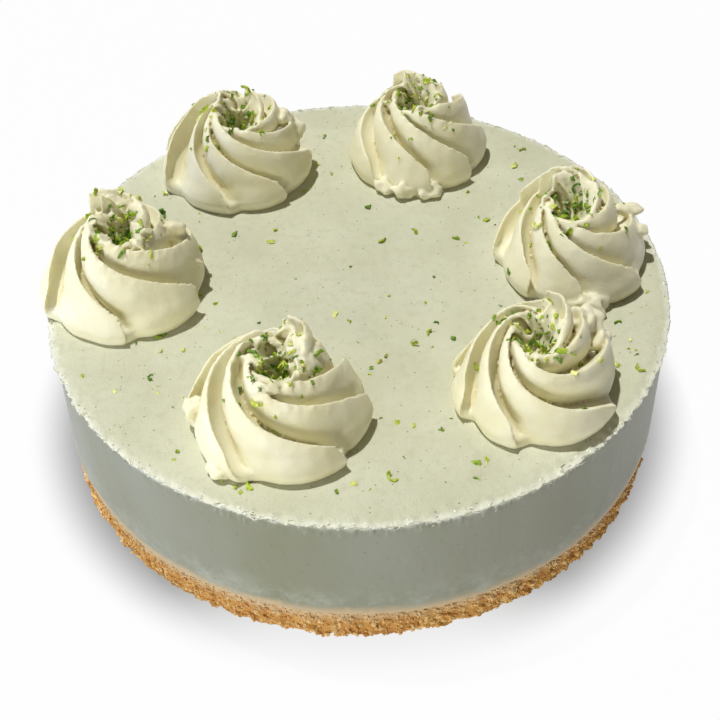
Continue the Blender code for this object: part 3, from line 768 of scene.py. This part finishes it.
def zestTree(material):
    tree, given = newTree("gratedZest", {
        "Surface": "Object", "Middles": "Object", "Density": "Float", "Spread": "Float", "Nearest": "Float",
        "Furthest": "Float", "Size": "Float", "Seed": "Int"})
    surface = addNode(tree, "GeometryNodeObjectInfo", {}, {"Object": given["Surface"]})
    middles = addNode(tree, "GeometryNodeObjectInfo", {}, {"Object": given["Middles"]})
    spot = addNode(tree, "GeometryNodeInputPosition")
    flatSpot = addNode(tree, "ShaderNodeVectorMath", {"operation": "MULTIPLY"}, {0: spot, 1: (1.0, 1.0, 0.0)})
    near = addNode(tree, "GeometryNodeProximity", {"target_element": "POINTS"},
                   {0: middles.outputs["Geometry"], "Sample Position": flatSpot})
    beyond = addNode(tree, "ShaderNodeMath", {"operation": "SUBTRACT"}, {
        0: near.outputs["Distance"], 1: given["Nearest"]})
    laps = addNode(tree, "ShaderNodeMath", {"operation": "DIVIDE"}, {0: beyond, 1: given["Spread"]})
    minus = addNode(tree, "ShaderNodeMath", {"operation": "MULTIPLY"}, {0: laps, 1: -1.0})
    dense = addNode(tree, "ShaderNodeMath", {"operation": "EXPONENT"}, {0: minus})
    outside = addNode(tree, "ShaderNodeMath", {"operation": "GREATER_THAN"}, {0: beyond, 1: 0.0})
    facing = addNode(tree, "ShaderNodeSeparateXYZ", {}, {"Vector": addNode(tree, "GeometryNodeInputNormal")})
    upward = addNode(tree, "ShaderNodeMath", {"operation": "GREATER_THAN"}, {0: facing.outputs["Z"], 1: 0.25})
    fromAxis = addNode(tree, "ShaderNodeVectorMath", {"operation": "LENGTH"}, {0: flatSpot})
    within = addNode(tree, "ShaderNodeMath", {"operation": "LESS_THAN"}, {
        0: fromAxis.outputs["Value"], 1: given["Furthest"]})
    for share in (outside, upward, within):
        dense = addNode(tree, "ShaderNodeMath", {"operation": "MULTIPLY"}, {0: dense, 1: share})
    density = addNode(tree, "ShaderNodeMath", {"operation": "MULTIPLY"}, {0: dense, 1: given["Density"]})
    scatter = addNode(tree, "GeometryNodeDistributePointsOnFaces", {}, {
        "Mesh": surface.outputs["Geometry"], "Density": density, "Seed": given["Seed"]})
    forms = addNode(tree, "GeometryNodeJoinGeometry")
    for form in zestForms:
        bend = form["bend"] * mm
        drop = bend * math.cos(math.radians(form["sweep"] / 4))
        flake = curledStrip(tree, bend, form["sweep"], form["steps"], drop, (form["thick"] * mm, form["wide"] * mm),
                            taper=[(0, 0.35), (0.3, 1), (0.75, 0.9), (1, 0.2)])
        single = addNode(tree, "GeometryNodeGeometryToInstance", {}, {"Geometry": flake})
        feed(tree, forms, {0: single})
    lie = addNode(tree, "FunctionNodeRandomValue", {"data_type": "FLOAT_VECTOR"},
                  {0: (-0.5, -0.5, 0.0), 1: (2.0, 0.6, 6.28), "Seed": 31})
    turned = addNode(tree, "FunctionNodeRotateRotation", {"rotation_space": "LOCAL"},
                     {"Rotation": scatter.outputs["Rotation"], "Rotate By": lie})
    size = addNode(tree, "FunctionNodeRandomValue", {}, {2: 0.0, 3: 1.0, "Seed": 32})
    skew = addNode(tree, "ShaderNodeMath", {"operation": "POWER"}, {0: size.outputs[1], 1: 1.8})
    spread = addNode(tree, "ShaderNodeMapRange", {}, {"Value": skew, "To Min": 0.35, "To Max": 1.25})
    scaled = addNode(tree, "ShaderNodeMath", {"operation": "MULTIPLY"}, {0: spread, 1: given["Size"]})
    flakes = addNode(tree, "GeometryNodeInstanceOnPoints", {}, {
        "Points": scatter.outputs["Points"], "Instance": forms, "Pick Instance": True,
        "Rotation": turned, "Scale": scaled})
    lifted = addNode(tree, "GeometryNodeTranslateInstances", {}, {
        "Instances": flakes, "Translation": (0.0, 0.0, 0.12 * mm)})
    toned = giveTones(tree, lifted, seed=33)
    endTree(tree, bendLoose(tree, toned, perMetre=900.0, detail=1.0, by=0.45 * mm), material)
    return tree


def spotsObject(name, spots):
    mesh = bpy.data.meshes.new(name)
    mesh.from_pydata([(x, y, 0.0) for x, y, z in spots], [], [])
    return newPiece(name, mesh)


def makeZest(name, tree, surface, spots, sizes):
    middles = spotsObject(name + "Middles", spots)
    piece = newPiece(name)
    growNodes(piece, tree, {**sizes, "Surface": surface, "Middles": middles})
    settle(piece, smooth=False)
    bpy.data.objects.remove(middles)
    return piece


def joinZest(pieces):
    bpy.ops.object.select_all(action="DESELECT")
    for piece in pieces:
        piece.select_set(True)
    bpy.context.view_layer.objects.active = pieces[0]
    bpy.ops.object.join()
    pieces[0].name = "zestFlakes"
    handOver(pieces[0], "lime_zest")


# Sun from behind on the left, and a white table that glows and so lights the side
lightLook = {"sun": 2.98, "sunWay": (0.24, -0.26, -0.90), "sunAngle": 1.8, "sky": "#ffedd2", "skyStrength": 0.13,
             "table": 0.965, "tableShade": 0.34, "frontShade": 0.84, "shadeReach": 15 * mm}
panelSize = (0.6, 0.25)
panels = [  # place, watts, colour
    {"at": (-0.7, -0.22, 0.14), "power": 1.9, "colour": "#bccdff"},
    {"at": (-0.36, -0.66, 0.14), "power": 3.2, "colour": "#f4f4ea"},
    {"at": (0.7, 0.1, 0.14), "power": 0.2, "colour": "#8fb0ff"},
]


def makeStage():
    bpy.ops.mesh.primitive_plane_add(size=3)
    table = bpy.context.object
    table.name = "table"
    material, tree, shader, place = newMaterial("whiteTable")
    # Painted soft shade round the cake where it meets the table, set into the table's glow
    away = addNode(tree, "ShaderNodeVectorMath", {"operation": "LENGTH"}, {0: place})
    outward = addNode(tree, "ShaderNodeVectorMath", {"operation": "NORMALIZE"}, {0: place})
    towards = addNode(tree, "ShaderNodeSeparateXYZ", {}, {"Vector": outward})
    least = addNode(tree, "ShaderNodeMapRange", {"interpolation_type": "SMOOTHSTEP"},
                    {"Value": towards.outputs["Y"], "From Min": -1.0, "From Max": -0.75,
                     "To Min": lightLook["frontShade"], "To Max": lightLook["tableShade"]})
    shade = addNode(tree, "ShaderNodeMapRange", {"interpolation_type": "SMOOTHSTEP"},
                    {"Value": away.outputs["Value"], "From Min": cakeRadius - 5 * mm,
                     "From Max": cakeRadius + lightLook["shadeReach"], "To Min": least,
                     "To Max": lightLook["table"]})
    feed(tree, shader, {
        "Base Color": (0.02, 0.02, 0.02, 1.0), "Specular IOR Level": 0.0, "Emission Color": (1.0, 1.0, 1.0, 1.0),
        "Emission Strength": shade})
    table.data.materials.append(material)
    sun = bpy.data.lights.new("sun", "SUN")
    sun.energy = lightLook["sun"]
    sun.angle = math.radians(lightLook["sunAngle"])
    aimed(newPiece("sun", sun), Vector(lightLook["sunWay"]))
    for panel in panels:
        glow = bpy.data.lights.new("panel", "AREA")
        glow.shape = "RECTANGLE"
        glow.size, glow.size_y = panelSize
        glow.energy = panel["power"]
        glow.color = linear(panel["colour"])[:3]
        lamp = newPiece("panel", glow)
        lamp.location = panel["at"]
        aimed(lamp, Vector((0, 0, 0.03)) - Vector(panel["at"]))
    world = bpy.data.worlds.new("studio")
    bpy.context.scene.world = world
    world.use_nodes = True
    background = world.node_tree.nodes["Background"]
    background.inputs["Color"].default_value = linear(lightLook["sky"])
    background.inputs["Strength"].default_value = lightLook["skyStrength"]
    bpy.context.scene.view_settings.view_transform = "Standard"


def aimed(lamp, way):
    lamp.rotation_mode = "QUATERNION"
    lamp.rotation_quaternion = way.to_track_quat("-Z", "Y")


# The photograph's view: fitted to the rim and the foot of the cake
cameraPlace = {"lens": 73.4, "height": 44.65, "distance": 0.45, "roll": -1.36, "aim": 0.0225, "shift": -9.4 / 720}


def makeCamera():
    view = cameraPlace
    data = bpy.data.cameras.new("camera")
    data.lens = view["lens"]
    data.sensor_width = 36
    data.shift_y = view["shift"]
    camera = newPiece("camera", data)
    height = math.radians(view["height"])
    aim = Vector((0, 0, view["aim"]))
    away = Vector((0, -math.cos(height), math.sin(height))) * view["distance"]
    turn = away.to_track_quat("Z", "Y").to_matrix().to_4x4() @ Matrix.Rotation(math.radians(view["roll"]), 4, "Z")
    camera.matrix_world = Matrix.Translation(aim + away) @ turn
    bpy.context.scene.camera = camera


filling = setFilling()
cream = pipedCream()
crumb = biscuitCrumb()
zest = limeZest()
print("materials done")

makeCamera()
makeStage()
print("camera and light done")

fillingPiece = makeFilling(filling)
makeShreds(fillingPiece, driedSkin())
crumbBody = makeCrumbBody(crumb)
makeCrumbs(crumbBody, crumb)
print("body done")

broken = swirlTree(cream)
swirlPieces = [makeSwirl(number, swirl, broken, cream) for number, swirl in enumerate(swirls, 1)]
print("swirls done")

middles = [crownSpot(swirl) for swirl in swirls]
grated = zestTree(zest)
flakes = [makeZest("zestOnTop", grated, fillingPiece, middles, zestOnTop),
          makeZest("zestInFront", grated, fillingPiece, [frontSpot], zestInFront)]
for number, (piece, middle) in enumerate(zip(swirlPieces, middles), 1):
    sizes = {**zestOnSwirl, "Seed": 9 + number}
    flakes.append(makeZest(f"zestOnSwirl{number}", grated, piece, [middle], sizes))
joinZest(flakes)
print("zest done")
